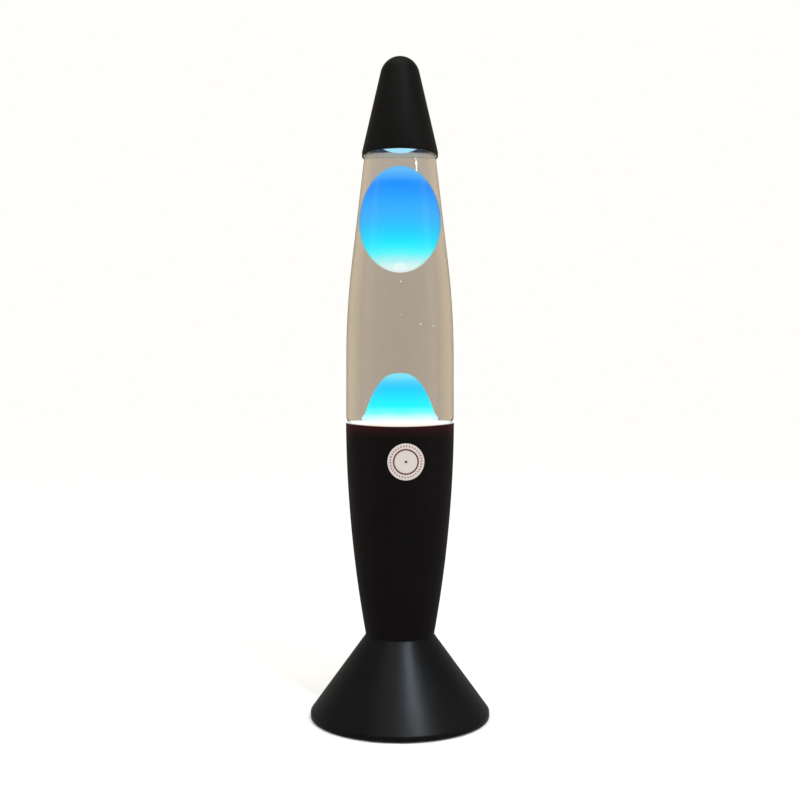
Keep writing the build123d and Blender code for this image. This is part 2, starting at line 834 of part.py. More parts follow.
stem_radius = 2.2
stem_top = cap_top_edge + 7.0
wire_radius = 0.3
filament_height = cap_top_edge + 17.0
filament_reach = 6.0

with BuildPart() as bulb_stem:
    with BuildSketch(Plane.XZ):
        with BuildLine():
            Polyline(
                (0, bulb_neck_bottom),
                (bulb_neck_radius - bulb_glass_wall - fit_gap, bulb_neck_bottom),
                (stem_radius, cap_top_edge - 3),
                (stem_radius, stem_top - 1),
                (stem_radius - 1, stem_top),
                (0, stem_top),
                close=True,
            )
        make_face()
    revolve(axis=Axis.Z)

with BuildPart() as bulb_lead_wires:
    for side in (-1, 1):
        with BuildLine() as wire_route:
            FilletPolyline(
                (side * 1.1, 0, stem_top),
                (side * 1.1, 0, stem_top + 3),
                (side * filament_reach, 0, filament_height - 2),
                (side * filament_reach, 0, filament_height + 1),
                radius=1.0,
            )
        with BuildSketch(Plane(origin=wire_route.line @ 0, z_dir=wire_route.line % 0)):
            Circle(wire_radius)
        sweep(path=wire_route.line)

with BuildPart() as bulb_filament:
    with BuildLine() as filament_route:
        ThreePointArc(
            (wire_radius - filament_reach, 0, filament_height),
            (0, 0, filament_height + 1.6),
            (filament_reach - wire_radius, 0, filament_height),
        )
    with BuildSketch(Plane(origin=filament_route.line @ 0, z_dir=filament_route.line % 0)):
        Circle(wire_radius)
    sweep(path=filament_route.line)
    add(bulb_lead_wires.part, mode=Mode.SUBTRACT)

# ==== Globe ====
with BuildPart() as globe_glass:
    with BuildSketch(Plane.XZ):
        with BuildLine():
            globe_outline(0, neck_top)
        make_face()
        with BuildLine():
            bead_bottom = neck_top - bead_height
            Polyline(
                (0, bead_bottom),
                (neck_radius, bead_bottom),
                (bead_radius, bead_bottom + 0.8),
                (bead_radius, neck_top - 0.8),
                (neck_radius, neck_top),
                (0, neck_top),
                close=True,
            )
        make_face()
        with BuildLine():
            globe_outline(globe_wall, neck_top)
        make_face(mode=Mode.SUBTRACT)
    revolve(axis=Axis.Z)

crown_bottom = neck_top + liner_thickness + crown_sheet - crown_skirt_height

with BuildPart() as crown_liner:
    with BuildSketch(Plane.XY.offset(neck_top)):
        Circle(crown_top_radius - crown_sheet)
    extrude(amount=liner_thickness)

with BuildPart() as crown_cap:
    with BuildSketch(Plane.XZ):
        with BuildLine():
            roof = neck_top + liner_thickness
            shoulder_low = roof - 1.2
            Polyline(
                (0, roof),
                (crown_top_radius, roof),
                (bead_radius + fit_gap, shoulder_low),
                (bead_radius + fit_gap, shoulder_low - 1.6),
                (crown_skirt_radius - crown_sheet, crown_bottom),
                (crown_skirt_radius, crown_bottom),
                (bead_radius + crown_sheet + fit_gap, shoulder_low - 1.6),
                (bead_radius + crown_sheet + fit_gap, shoulder_low),
                (crown_top_radius, roof + crown_sheet),
                (0, roof + crown_sheet),
                close=True,
            )
        make_face()
    revolve(axis=Axis.Z)

cavity_inset = globe_wall + fit_gap

with BuildPart() as wax_pool:
    with BuildSketch(Plane.XZ):
        with BuildLine():
            mound_outline(0)
        make_face()
        with BuildLine():
            globe_outline(cavity_inset, liquid_top)
        make_face(mode=Mode.INTERSECT)
        coil_low = inner_floor + 1.2
        coil_height = coil_turns * coil_pitch
        with Locations((coil_radius, coil_low + coil_height / 2)):
            Rectangle(
                2 * coil_wire_radius + 4 * fit_gap,
                coil_height + 2 * coil_wire_radius + 4 * fit_gap,
                mode=Mode.SUBTRACT,
            )
    revolve(axis=Axis.Z)

with BuildPart() as wax_coil:
    with BuildLine() as coil_route:
        Helix(coil_pitch, coil_height, coil_radius, center=(0, 0, coil_low))
    with BuildSketch(Plane(origin=coil_route.line @ 0, z_dir=coil_route.line % 0)):
        Circle(coil_wire_radius)
    sweep(path=coil_route.line, is_frenet=True)

with BuildPart() as wax_top:
    with BuildSketch(Plane.XZ):
        with BuildLine():
            top_wax_outline(0)
        make_face()
    revolve(axis=Axis.Z)

with BuildPart() as wax_blob:
    with BuildSketch(Plane.XZ):
        with BuildLine():
            blob_outline(0)
        make_face()
    revolve(axis=Axis.Z)

with BuildPart() as clear_liquid:
    with BuildSketch(Plane.XZ):
        with BuildLine():
            globe_outline(cavity_inset, liquid_top)
        make_face()
        with BuildLine():
            mound_outline(fit_gap)
        make_face(mode=Mode.SUBTRACT)
        with BuildLine():
            top_wax_outline(fit_gap)
        make_face(mode=Mode.SUBTRACT)
        with BuildLine():
            blob_outline(free_gap)
        make_face(mode=Mode.SUBTRACT)
    revolve(axis=Axis.Z)

# ==== Cap ====
with BuildPart() as top_cap:
    with BuildSketch(Plane.XZ):
        with BuildLine():
            cap_outline(0)
        make_face()
        with BuildLine():
            cap_outline(cap_wall)
        make_face(mode=Mode.SUBTRACT)
    revolve(axis=Axis.Z)
    cap_edges = top_cap.edges().filter_by(GeomType.CIRCLE).group_by(Axis.Z)[0]
    fillet(cap_edges, cap_wall / 3)

# ==== Write the pieces ====
pieces = {
    "base_cone": base_cone,
    "cord_grommet": cord_grommet,
    "base_plate": base_plate,
    "plate_brackets": plate_brackets,
    "plate_screws": plate_screws,
    "rubber_feet": rubber_feet,
    "lamp_pipe": lamp_pipe,
    "pipe_nuts": pipe_nuts,
    "lock_washer": lock_washer,
    "earth_tag": earth_tag,
    "base_cup": base_cup,
    "label_disc": label_disc,
    "globe_seat_ring": globe_seat_ring,
    "holder_bracket": holder_bracket,
    "holder_bracket_screws": holder_bracket_screws,
    "holder_body": holder_body,
    "holder_contact": holder_contact,
    "holder_shell": holder_shell,
    "holder_terminals": holder_terminals,
    "holder_terminal_screws": holder_terminal_screws,
    "lead_live": lead_live,
    "lead_neutral": lead_neutral,
    "splice_caps": splice_caps,
    "bulb_contact": bulb_contact,
    "bulb_insulator": bulb_insulator,
    "bulb_shell": bulb_shell,
    "bulb_glass": bulb_glass,
    "bulb_stem": bulb_stem,
    "bulb_lead_wires": bulb_lead_wires,
    "bulb_filament": bulb_filament,
    "globe_glass": globe_glass,
    "crown_liner": crown_liner,
    "crown_cap": crown_cap,
    "wax_pool": wax_pool,
    "wax_coil": wax_coil,
    "wax_top": wax_top,
    "wax_blob": wax_blob,
    "clear_liquid": clear_liquid,
    "top_cap": top_cap,
}

os.makedirs("parts", exist_ok=True)
for label, piece in pieces.items():
    piece.part.label = label
    export_step(piece.part, f"parts/{label}.step")
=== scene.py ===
import json
from math import atan2, ceil, cos, degrees, hypot, pi, radians, sin, sqrt, tan

import bmesh
import bpy
from mathutils import Matrix, Vector


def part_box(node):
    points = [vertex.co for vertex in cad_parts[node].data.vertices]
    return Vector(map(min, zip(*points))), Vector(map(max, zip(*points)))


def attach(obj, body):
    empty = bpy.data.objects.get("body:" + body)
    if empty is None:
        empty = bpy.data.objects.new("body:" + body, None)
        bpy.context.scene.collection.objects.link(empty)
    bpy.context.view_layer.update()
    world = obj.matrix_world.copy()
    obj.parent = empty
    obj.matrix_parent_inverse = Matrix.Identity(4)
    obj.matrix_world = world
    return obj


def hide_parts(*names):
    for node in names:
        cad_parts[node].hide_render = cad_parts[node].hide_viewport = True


MM = 0.001
TURNS = 128  # facets round a turned piece

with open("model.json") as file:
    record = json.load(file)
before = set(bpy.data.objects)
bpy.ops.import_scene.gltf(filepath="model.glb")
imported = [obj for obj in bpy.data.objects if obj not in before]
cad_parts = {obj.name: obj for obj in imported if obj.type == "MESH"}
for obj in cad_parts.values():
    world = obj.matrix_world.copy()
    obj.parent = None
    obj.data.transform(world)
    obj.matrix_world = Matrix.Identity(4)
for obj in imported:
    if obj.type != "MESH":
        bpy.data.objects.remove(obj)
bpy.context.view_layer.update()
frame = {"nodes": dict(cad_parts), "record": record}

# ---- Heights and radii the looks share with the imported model, in mm ----
CUP_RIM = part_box("base_cup")[1].z / MM
CUP_RIM_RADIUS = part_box("base_cup")[1].x / MM
CONE_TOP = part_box("base_cone")[1].z / MM
CONE_RIM_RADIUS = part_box("base_cone")[1].x / MM
CONE_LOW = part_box("base_cone")[0].z / MM
CONE_BAND = 2.4  # upright band at the cone's rim
WAIST_RADIUS = 17.6  # where cone and cup meet
CUP_BULGE = 2.33  # how far the cup's side bows out from a straight taper
SHEET = 1.2  # spun sheet of cone and cup
PIPE_HOLE = 5.05  # radius of the hole for the lamp pipe in both
GLOBE_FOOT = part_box("globe_glass")[0].z / MM
GLOBE_WALL = 2.2
MOUTH_INSIDE = 6.19  # upright run of the globe's inside, from its last bend to the mouth
LIQUID_OVERLAP = 0.2  # how far the liquid reaches into the glass
LIQUID_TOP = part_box("clear_liquid")[1].z / MM
POOL_LEVEL = CUP_RIM + 1.3
POOL_EDGE = CUP_RIM + 2.1  # where the pool's rim of wax ends on the glass
MOUND_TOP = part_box("wax_pool")[1].z / MM
MOUND_RADIUS = 14.4
BLOB_LOW, BLOB_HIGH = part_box("wax_blob")[0].z / MM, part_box("wax_blob")[1].z / MM
BLOB_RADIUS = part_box("wax_blob")[1].x / MM
BLOB_MIDDLE = CUP_RIM + 102.25
CAP_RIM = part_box("top_cap")[0].z / MM
CAP_RIM_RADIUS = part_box("top_cap")[1].x / MM
CAP_TOP = 340.0
CAP_BAND, CAP_NOSE = 2.2, 10.3  # upright band at the cap's rim, radius of its nose
CAP_SHEET = 0.9
NECK_WAX_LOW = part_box("wax_top")[0].z / MM
NECK_WAX_TOP = LIQUID_TOP - 0.2
NECK_WAX_RADIUS = 9.4
CROWN_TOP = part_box("crown_cap")[1].z / MM
LABEL_X, LABEL_HEIGHT, LABEL_RADIUS = 2.9, CUP_RIM - 18.6, 9.1

# ---- The globe's outside from the middle of its foot up, as moves for draw() ----
GLOBE_MOVES = [
    (16.688,), (5.0, 80), (18.131,),  # flat foot, its round edge, and the tapered part that stands in the cup
    (3.0, -45), (4.0, 55), (30.8,),  # step out over the cup's rim, and the upright side
    (410.0, 6.65), (57.4,),  # long slow curve inwards, and the straight taper
    (3.0, 78.35), (2.071,), (1.0, -85),  # shoulder, and the turn into the neck
]
LIP_MOVES = [
    (3.3,), (0.35, -90), (0.35, 90),  # neck, and the step out to its bead
    (2.2,), (0.5, 90), (1.9,), (0.5, 90),  # bead, and the rounded lip over it
]

# ---- Bubbles: x, y, height and radius ----
BUBBLES = [
    (-4.7, -12.0, 281.6, 0.35), (-7.5, -16.5, 214.5, 0.3), (0.3, -17.5, 221.5, 0.35),
    (0.5, -18.0, 205.0, 0.3), (9.4, -16.5, 200.5, 0.4), (15.0, -12.0, 199.8, 0.3),
]

# ---- Heights, and the colour of the bulb's light painted on the wax there ----
MOUND_GLOW = [
    (128, "#9fe4f2"), (140, "#c8f4fa"), (149, "#ffffff"), (154, "#f8ffff"), (155.2, "#cbfdfc"),
    (157.5, "#6fffff"), (160.6, "#09f4fc"), (163.7, "#01eaff"), (167, "#02dcff"), (170, "#15ccfe"),
    (173, "#44d2ff"), (176.2, "#81e5f4"),
]
BLOB_GLOW = [
    (227, "#f4f6f4"), (231, "#dafaf5"), (234, "#a8f4f4"), (237, "#63f7f9"), (240, "#32f0fc"),
    (243, "#00e6fd"), (246, "#06d6fe"), (249.5, "#15c7fd"), (253, "#1fbafa"), (259, "#2babfd"),
    (265, "#11a0ff"), (271, "#008cfe"), (274, "#048efc"), (280, "#60baf8"),
]
NECK_GLOW = [(288, "#a5e2f4"), (298, "#8fc6dc")]


# ==== Small tools ====
def hex_colour(text):
    """An sRGB hex value as linear red, green, blue and alpha."""
    parts = [int(text[i : i + 2], 16) / 255 for i in (1, 3, 5)]
    return [c / 12.92 if c <= 0.04045 else ((c + 0.055) / 1.055) ** 2.4 for c in parts] + [1.0]


def add(tree, kind, values=None, links=None, stops=None, **settings):
    """Adds one node: its own settings, values for its open inputs, links into it, and a ramp's stops."""
    node = tree.nodes.new("ShaderNode" + kind)
    for key, value in settings.items():
        setattr(node, key, value)
    for key, value in (values or {}).items():
        node.inputs[key].default_value = value
    for key, source in (links or {}).items():
        tree.links.new(source, node.inputs[key])
    for i, (place, colour) in enumerate(stops or []):
        point = node.color_ramp.elements[i] if i < 2 else node.color_ramp.elements.new(place)
        point.position, point.color = place, hex_colour(colour)
    return node


def start(name):
    """A new material with its surface shader, and the tree to add nodes to."""
    material = bpy.data.materials.new(name)
    material.use_nodes = True
    tree = material.node_tree
    tree.nodes.clear()
    shader = add(tree, "BsdfPrincipled")
    out = add(tree, "OutputMaterial", links={"Surface": shader.outputs[0]})
    return material, tree, shader, out


def draw(bm, begin, heading, moves, inset=0.0):
    """Draws a half-outline at y = 0 from (radius, height), in mm. A move is a run (mm,) or an arc (radius,
    degrees), a vertex spun about its centre, where positive turns left. The inset moves the whole line to
    its left. Gives back the line's last vertex."""
    angle = radians(heading)
    ahead = Vector((cos(angle), 0, sin(angle)))
    left = Vector((-ahead.z, 0, ahead.x))
    pen = bm.verts.new((Vector((begin[0], 0, begin[1])) + left * inset) * MM)
    for move in moves:
        if len(move) == 1:
            pen = bmesh.ops.extrude_vert_indiv(bm, verts=[pen])["verts"][0]
            pen.co += ahead * move[0] * MM
            continue
        radius, turn = move
        side = 1 if turn > 0 else -1
        radius -= side * inset if radius else 0
        if radius > 0:
            steps = max(ceil(abs(turn) / 9), ceil(radius * radians(abs(turn)) / 5))
            centre = pen.co + left * side * radius * MM
            sweep = radians(turn)
            made = bmesh.ops.spin(bm, geom=[pen], cent=centre, axis=(0, -1, 0), angle=sweep, steps=steps)
            pen = [v for v in made["geom_last"] if isinstance(v, bmesh.types.BMVert)][0]
        swing = Matrix.Rotation(-radians(turn), 3, "Y")
        ahead, left = swing @ ahead, swing @ left
    return pen


def lathe(bm, steps=TURNS):
    """Spins the outlines in bm once round the Z axis, closes the poles and points the faces outwards."""
    outline = bm.verts[:] + bm.edges[:]
    turn = {"cent": (0, 0, 0), "axis": (0, 0, 1), "angle": 2 * pi}
    bmesh.ops.spin(bm, geom=outline, steps=steps, use_merge=True, **turn)
    bmesh.ops.remove_doubles(bm, verts=bm.verts[:], dist=0.005 * MM)
    bmesh.ops.recalc_face_normals(bm, faces=bm.faces[:])


def wall(bm, thickness):
    """Gives a turned sheet its wall, inwards. The new inner side takes the second material."""
    made = bmesh.ops.solidify(bm, geom=bm.faces[:], thickness=thickness * MM)["geom"]
    for face in [g for g in made if isinstance(g, bmesh.types.BMFace)]:
        face.material_index = 1
    bmesh.ops.recalc_face_normals(bm, faces=bm.faces[:])


def piece(name, bm, material, body, slot, *nodes, sharp=40, inside=None):
    """Makes the finished piece, smooth but for edges sharper than the limit. It rides on a body, wears the
    given finish and stands for CAD nodes; the slot is not used. The inside finish goes on the side that
    wall() added."""
    mesh = bpy.data.meshes.new(name)
    for face in bm.faces:
        face.smooth = True
    bm.to_mesh(mesh)
    bm.free()
    mesh.set_sharp_from_angle(angle=radians(sharp))
    for finish in filter(None, (material, inside)):
        mesh.materials.append(finish)
    obj = bpy.data.objects.new(name, mesh)
    bpy.context.scene.collection.objects.link(obj)
    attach(obj, body)
    if nodes:
        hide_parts(*nodes)


# ==== Materials ====
def powder_coat(name, dark, light, peel, rough, ior, depth=0.22):
    """Satin black powder coat, baked on spun aluminium: nearly black, with a fine orange peel that softens
    each highlight and slight changes of sheen where the coat is thicker."""
    material, tree, shader, _ = start(name)
    where = add(tree, "TexCoord").outputs["Object"]
    cloud = add(tree, "TexNoise", {"Scale": 1000 / 22, "Detail": 3.0}, {"Vector": where}).outputs["Fac"]
    grain = add(tree, "TexNoise", {"Scale": 1000 / peel, "Detail": 2.0, "Roughness": 0.6}, {"Vector": where})
    colour = add(tree, "ValToRGB", None, {"Fac": cloud}, [(0.3, dark), (0.7, light)])
    spread = {"From Min": 0.25, "From Max": 0.75, "To Min": rough - 0.04, "To Max": rough + 0.05}
    sheen = add(tree, "MapRange", spread, {"Value": cloud})
    bump = add(tree, "Bump", {"Strength": depth, "Distance": 0.05 * MM}, {"Height": grain.outputs["Fac"]})
    tree.links.new(colour.outputs[0], shader.inputs["Base Color"])
    tree.links.new(sheen.outputs[0], shader.inputs["Roughness"])
    tree.links.new(bump.outputs[0], shader.inputs["Normal"])
    shader.inputs["IOR"].default_value = ior
    return material, tree, shader


def cup_coat_and_painted_rim_glow():
    """The same coat on the cup, with painted light: a bright line painted on the rim at the front and back
    stands for lamp light that spills over it, and a dim red glow is painted on the few millimetres under it."""
    material, tree, shader = powder_coat("cup_powder_coat_and_painted_rim_glow", "#080505", "#0b0707", 0.9, 0.46, 1.26)
    axes = add(tree, "SeparateXYZ", None, {"Vector": add(tree, "TexCoord").outputs["Object"]}).outputs
    under = {"From Min": (CUP_RIM - 7) * MM, "From Max": CUP_RIM * MM}
    glow = add(tree, "MapRange", under, {"Value": axes["Z"]})
    # painted light: a dim red glow painted on the few millimetres under the rim
    painted_under_rim_red = add(tree, "ValToRGB", None, {"Fac": glow.outputs[0]}, [(0.0, "#000000"), (1.0, "#2e0708")])
    side = add(tree, "Math", None, {0: axes["Y"], 1: axes["Y"]}, operation="MULTIPLY").outputs[0]
    bow = 1.35 * MM / (CUP_RIM_RADIUS * MM) ** 2
    spill = add(tree, "Math", {1: bow}, {0: side}, operation="MULTIPLY").outputs[0]
    lift = add(tree, "Math", None, {0: axes["Z"], 1: spill}, operation="ADD").outputs[0]
    edge = {"From Min": (CUP_RIM - 0.15) * MM, "From Max": (CUP_RIM + 0.25) * MM}
    lip = add(tree, "MapRange", edge, {"Value": lift})
    # painted light: a bright line painted along the rim, strongest at the front and back
    bright = add(tree, "Mix", {7: hex_colour("#fff6ec")}, {"Factor": lip.outputs[0]}, data_type="RGBA")
    tree.links.new(painted_under_rim_red.outputs[0], bright.inputs[6])
    tree.links.new(bright.outputs[2], shader.inputs["Emission Color"])
    shader.inputs["Emission Strength"].default_value = 1.0
    return material


def bottle_glass():
    """Fire-polished flint glass: clear and bright, with the faint long waves a blown bottle has."""
    material, tree, shader, _ = start("flint_bottle_glass")
    where = add(tree, "TexCoord").outputs["Object"]
    stretch = add(tree, "Mapping", {"Scale": (1.0, 1.0, 0.25)}, {"Vector": where}).outputs[0]
    waves = add(tree, "TexNoise", {"Scale": 1000 / 14, "Detail": 1.0}, {"Vector": stretch}).outputs["Fac"]
    bump = add(tree, "Bump", {"Strength": 0.12, "Distance": 0.1 * MM}, {"Height": waves})
    tree.links.new(bump.outputs[0], shader.inputs["Normal"])
    shader.inputs["Base Color"].default_value = hex_colour("#fbfdfc")
    shader.inputs["Roughness"].default_value = 0.0
    shader.inputs["IOR"].default_value = 1.5
    shader.inputs["Transmission Weight"].default_value = 1.0
    return material


def bubble_air():
    """Air in the liquid: each bubble bends the light like a tiny negative lens and shows a bright and a dark
    side, and a faint pale glow painted on it lightens it all over."""
    material, tree, shader, _ = start("air_in_liquid_painted_glow")
    where = add(tree, "TexCoord").outputs["Object"]
    film = add(tree, "TexNoise", {"Scale": 1000 / 0.4, "Detail": 1.0}, {"Vector": where}).outputs["Fac"]
    bump = add(tree, "Bump", {"Strength": 0.02, "Distance": 0.01 * MM}, {"Height": film})
    tree.links.new(bump.outputs[0], shader.inputs["Normal"])
    shader.inputs["Base Color"].default_value = hex_colour("#ffffff")
    shader.inputs["Roughness"].default_value = 0.0
    shader.inputs["IOR"].default_value = 0.75
    # painted light: a faint pale glow on each bubble
    shader.inputs["Emission Color"].default_value = hex_colour("#efe9dd")
    shader.inputs["Emission Strength"].default_value = 0.35
    shader.inputs["Transmission Weight"].default_value = 1.0
    return material


def globe_liquid():
    """Clear water-based liquid with a warm tint that grows with depth, so the thick middle of the globe
    looks darker than its sides."""
    material, tree, shader, out = start("tinted_clear_liquid")
    where = add(tree, "TexCoord").outputs["Object"]
    haze = add(tree, "TexNoise", {"Scale": 1000 / 30, "Detail": 2.0}, {"Vector": where}).outputs["Fac"]
    bump = add(tree, "Bump", {"Strength": 0.03, "Distance": 0.1 * MM}, {"Height": haze})
    tree.links.new(bump.outputs[0], shader.inputs["Normal"])
    shader.inputs["Base Color"].default_value = hex_colour("#ffffff")
    shader.inputs["Roughness"].default_value = 0.0
    shader.inputs["IOR"].default_value = 1.34
    shader.inputs["Transmission Weight"].default_value = 1.0
    painted_under_rim_red = add(tree, "VolumeAbsorption", {"Color": (0.542, 0.475, 0.398, 1.0), "Density": 10.0})
    tree.links.new(painted_under_rim_red.outputs[0], out.inputs["Volume"])
    return material


def lit_wax(name, low, high, marks, strength, sheen, spot=(0.0, 0.0, 0.0)):
    """Dyed paraffin wax with painted light: a glow painted by height stands for the bulb's light from below,
    white where that light is strongest, then turquoise, then blue, with a soft pale sheen where the surface
    turns away. The glow rises from low to high, and the colours wander by up to the swirl's depth. The blob
    has a painted highlight, a pale ring of the bulb's light, at the spot; left at the origin, the spot lies
    outside the wax."""
    swirl_depth, glint_reach = 2.4 * MM, 5 * MM
    material, tree, shader, _ = start(name)
    where = add(tree, "TexCoord").outputs["Object"]
    height = add(tree, "SeparateXYZ", None, {"Vector": where}).outputs["Z"]
    swirl = add(tree, "TexNoise", {"Scale": 1000 / 16, "Detail": 2.0}, {"Vector": where}).outputs["Fac"]
    shift = add(tree, "Math", {1: swirl_depth}, {0: swirl}, operation="MULTIPLY").outputs[0]
    level = add(tree, "Math", None, {0: height, 1: shift}, operation="ADD").outputs[0]
    share = add(tree, "MapRange", {"From Min": low * MM, "From Max": high * MM}, {"Value": level})
    stops = [((z - low) / (high - low), colour) for z, colour in marks]
    # painted light: the glow by height stands for the bulb's light from below
    glow = add(tree, "ValToRGB", None, {"Fac": share.outputs[0]}, stops)
    centre = [c * MM for c in spot]
    reach = add(tree, "VectorMath", {1: centre}, {0: where}, operation="DISTANCE").outputs["Value"]
    ring = add(tree, "Math", {1: glint_reach}, {0: reach}, operation="DIVIDE").outputs[0]
    # painted highlight: a pale ring of the bulb's light painted round the spot
    painted_glint_ring = add(tree, "ValToRGB", None, {"Fac": ring}, [(0.1, "#8a8a8a"), (0.4, "#f0f0f0"), (0.62, "#000000")])
    wax_with_glint = add(tree, "Mix", {7: hex_colour("#f4fffd")}, {"Factor": painted_glint_ring.outputs[0], 6: glow.outputs[0]},
                 data_type="RGBA")
    tree.links.new(wax_with_glint.outputs[2], shader.inputs["Emission Color"])
    shader.inputs["Emission Strength"].default_value = strength
    shader.inputs["Base Color"].default_value = hex_colour("#0a4f8c")
    shader.inputs["Roughness"].default_value = 0.45
    shader.inputs["IOR"].default_value = 1.08
    shader.inputs["Sheen Weight"].default_value = sheen
    shader.inputs["Sheen Roughness"].default_value = 0.25
    shader.inputs["Sheen Tint"].default_value = hex_colour("#dff6ff")
    return material


def printed_label():
    """A coated paper label with generic rings and marks, printed in dark red on warm white."""
    ticks_round, tick_low, tick_high, ring_scale = 34.0, 7.3 * MM, 8.1 * MM, 10 * MM
    material, tree, shader, _ = start("printed_paper_label")
    where = add(tree, "TexCoord").outputs["Object"]
    shift = (-LABEL_X * MM, 0, -LABEL_HEIGHT * MM)
    centred = add(tree, "Mapping", {"Location": shift}, {"Vector": where}).outputs[0]
    axes = add(tree, "SeparateXYZ", None, {"Vector": centred}).outputs
    flat = add(tree, "CombineXYZ", None, {"X": axes["X"], "Z": axes["Z"]}).outputs[0]
    radius = add(tree, "VectorMath", None, {0: flat}, operation="LENGTH").outputs["Value"]
    share = add(tree, "Math", {1: ring_scale}, {0: radius}, operation="DIVIDE").outputs[0]
    rings = add(tree, "ValToRGB", None, {"Fac": share},
                [(0.0, "#6c1c1e"), (0.07, "#c9c0bb"), (0.56, "#5c1517"), (0.64, "#c9c0bb")])
    rings.color_ramp.interpolation = "CONSTANT"
    turn = add(tree, "Math", None, {0: axes["Z"], 1: axes["X"]}, operation="ARCTAN2").outputs[0]
    beat = add(tree, "Math", {1: ticks_round}, {0: turn}, operation="MULTIPLY").outputs[0]
    wave = add(tree, "Math", None, {0: beat}, operation="SINE").outputs[0]
    on = add(tree, "Math", {1: 0.1}, {0: wave}, operation="GREATER_THAN").outputs[0]
    far = add(tree, "Math", {1: tick_low}, {0: radius}, operation="GREATER_THAN").outputs[0]
    near = add(tree, "Math", {1: tick_high}, {0: radius}, operation="LESS_THAN").outputs[0]
    band = add(tree, "Math", None, {0: far, 1: near}, operation="MULTIPLY").outputs[0]
    ticks = add(tree, "Math", None, {0: band, 1: on}, operation="MULTIPLY").outputs[0]
    ink = add(tree, "Mix", None, {"Factor": ticks}, data_type="RGBA")
    tree.links.new(rings.outputs[0], ink.inputs[6])
    ink.inputs[7].default_value = hex_colour("#8d4a49")
    fibre = add(tree, "TexNoise", {"Scale": 1000 / 0.8, "Detail": 2.0}, {"Vector": where}).outputs["Fac"]
    bump = add(tree, "Bump", {"Strength": 0.1, "Distance": 0.02 * MM}, {"Height": fibre})
    tree.links.new(ink.outputs[2], shader.inputs["Base Color"])
    tree.links.new(bump.outputs[0], shader.inputs["Normal"])
    shader.inputs["Roughness"].default_value = 0.4
    return material


def metal(name, dark, light, grain, rough, stretch=(1.0, 1.0, 1.0), glow="#000000"):
    """Bare or plated metal: its colour drifts a little, and fine drawn or tumbled marks spread its
    highlights. A glow stands for the lamp light that a closed space throws back and forth."""
    material, tree, shader, _ = start(name)
    where = add(tree, "TexCoord").outputs["Object"]
    drawn = add(tree, "Mapping", {"Scale": stretch}, {"Vector": where}).outputs[0]
    cloud = add(tree, "TexNoise", {"Scale": 1000 / 6, "Detail": 3.0}, {"Vector": where}).outputs["Fac"]
    marks = add(tree, "TexNoise", {"Scale": 1000 / grain, "Detail": 3.0}, {"Vector": drawn}).outputs["Fac"]
    colour = add(tree, "ValToRGB", None, {"Fac": cloud}, [(0.3, dark), (0.7, light)])
    sheen = add(tree, "MapRange", {"To Min": rough - 0.08, "To Max": rough + 0.1}, {"Value": marks})
    bump = add(tree, "Bump", {"Strength": 0.15, "Distance": 0.03 * MM}, {"Height": marks})
    tree.links.new(colour.outputs[0], shader.inputs["Base Color"])
    tree.links.new(sheen.outputs[0], shader.inputs["Roughness"])
    tree.links.new(bump.outputs[0], shader.inputs["Normal"])
    shader.inputs["Metallic"].default_value = 1.0
    shader.inputs["Emission Color"].default_value = hex_colour(glow)
    shader.inputs["Emission Strength"].default_value = 1.0
    return material


def moulded(name, dark, light, grain, rough, gloss=0.5):
    """Moulded or fired non-metal: an even body colour with a fine skin texture."""
    material, tree, shader, _ = start(name)
    where = add(tree, "TexCoord").outputs["Object"]
    cloud = add(tree, "TexNoise", {"Scale": 1000 / 9, "Detail": 3.0}, {"Vector": where}).outputs["Fac"]
    skin = add(tree, "TexNoise", {"Scale": 1000 / grain, "Detail": 2.0}, {"Vector": where}).outputs["Fac"]
    colour = add(tree, "ValToRGB", None, {"Fac": cloud}, [(0.3, dark), (0.7, light)])
    sheen = add(tree, "MapRange", {"To Min": rough - 0.05, "To Max": rough + 0.08}, {"Value": skin})
    bump = add(tree, "Bump", {"Strength": 0.12, "Distance": 0.04 * MM}, {"Height": skin})
    tree.links.new(colour.outputs[0], shader.inputs["Base Color"])
    tree.links.new(sheen.outputs[0], shader.inputs["Roughness"])
    tree.links.new(bump.outputs[0], shader.inputs["Normal"])
    shader.inputs["Specular IOR Level"].default_value = gloss
    return material


# ==== Pieces ====
def cone_shell(material, bare):
    """The spun cone: an upright band at the rim, a straight slope, and a flat top with the pipe's hole."""
    bm = bmesh.new()
    run, rise = CONE_RIM_RADIUS - WAIST_RADIUS, CONE_TOP - CONE_LOW - CONE_BAND
    lean = atan2(run, rise)
    low_bend, high_bend = 0.6, 0.8
    low_reach, high_reach = low_bend * tan(lean / 2), high_bend * tan((pi / 2 - lean) / 2)
    slope = hypot(run, rise) - low_reach - high_reach
    draw(bm, (CONE_RIM_RADIUS, CONE_LOW), 90, [
        (CONE_BAND - low_reach,), (low_bend, degrees(lean)), (slope,), (high_bend, 90 - degrees(lean)),
        (WAIST_RADIUS - high_reach - PIPE_HOLE,),
    ])
    lathe(bm)
    wall(bm, SHEET)
    piece("cone_shell", bm, material, "base", "black_cone", "base_cone", inside=bare)


def cup_arc():
    """The arc of the cup's side in mm and degrees: radius, the centre's radius and height, half its turn,
    its lean."""
    rise, run = CUP_RIM - CONE_TOP, CUP_RIM_RADIUS - WAIST_RADIUS
    chord = hypot(rise, run)
    radius = (chord * chord / 4 + CUP_BULGE * CUP_BULGE) / (2 * CUP_BULGE)
    depth = radius - CUP_BULGE
    centre_r = (WAIST_RADIUS + CUP_RIM_RADIUS) / 2 - depth * rise / chord
    centre_z = (CONE_TOP + CUP_RIM) / 2 + depth * run / chord
    return radius, centre_r, centre_z, degrees(atan2(chord / 2, depth)), degrees(atan2(run, rise))


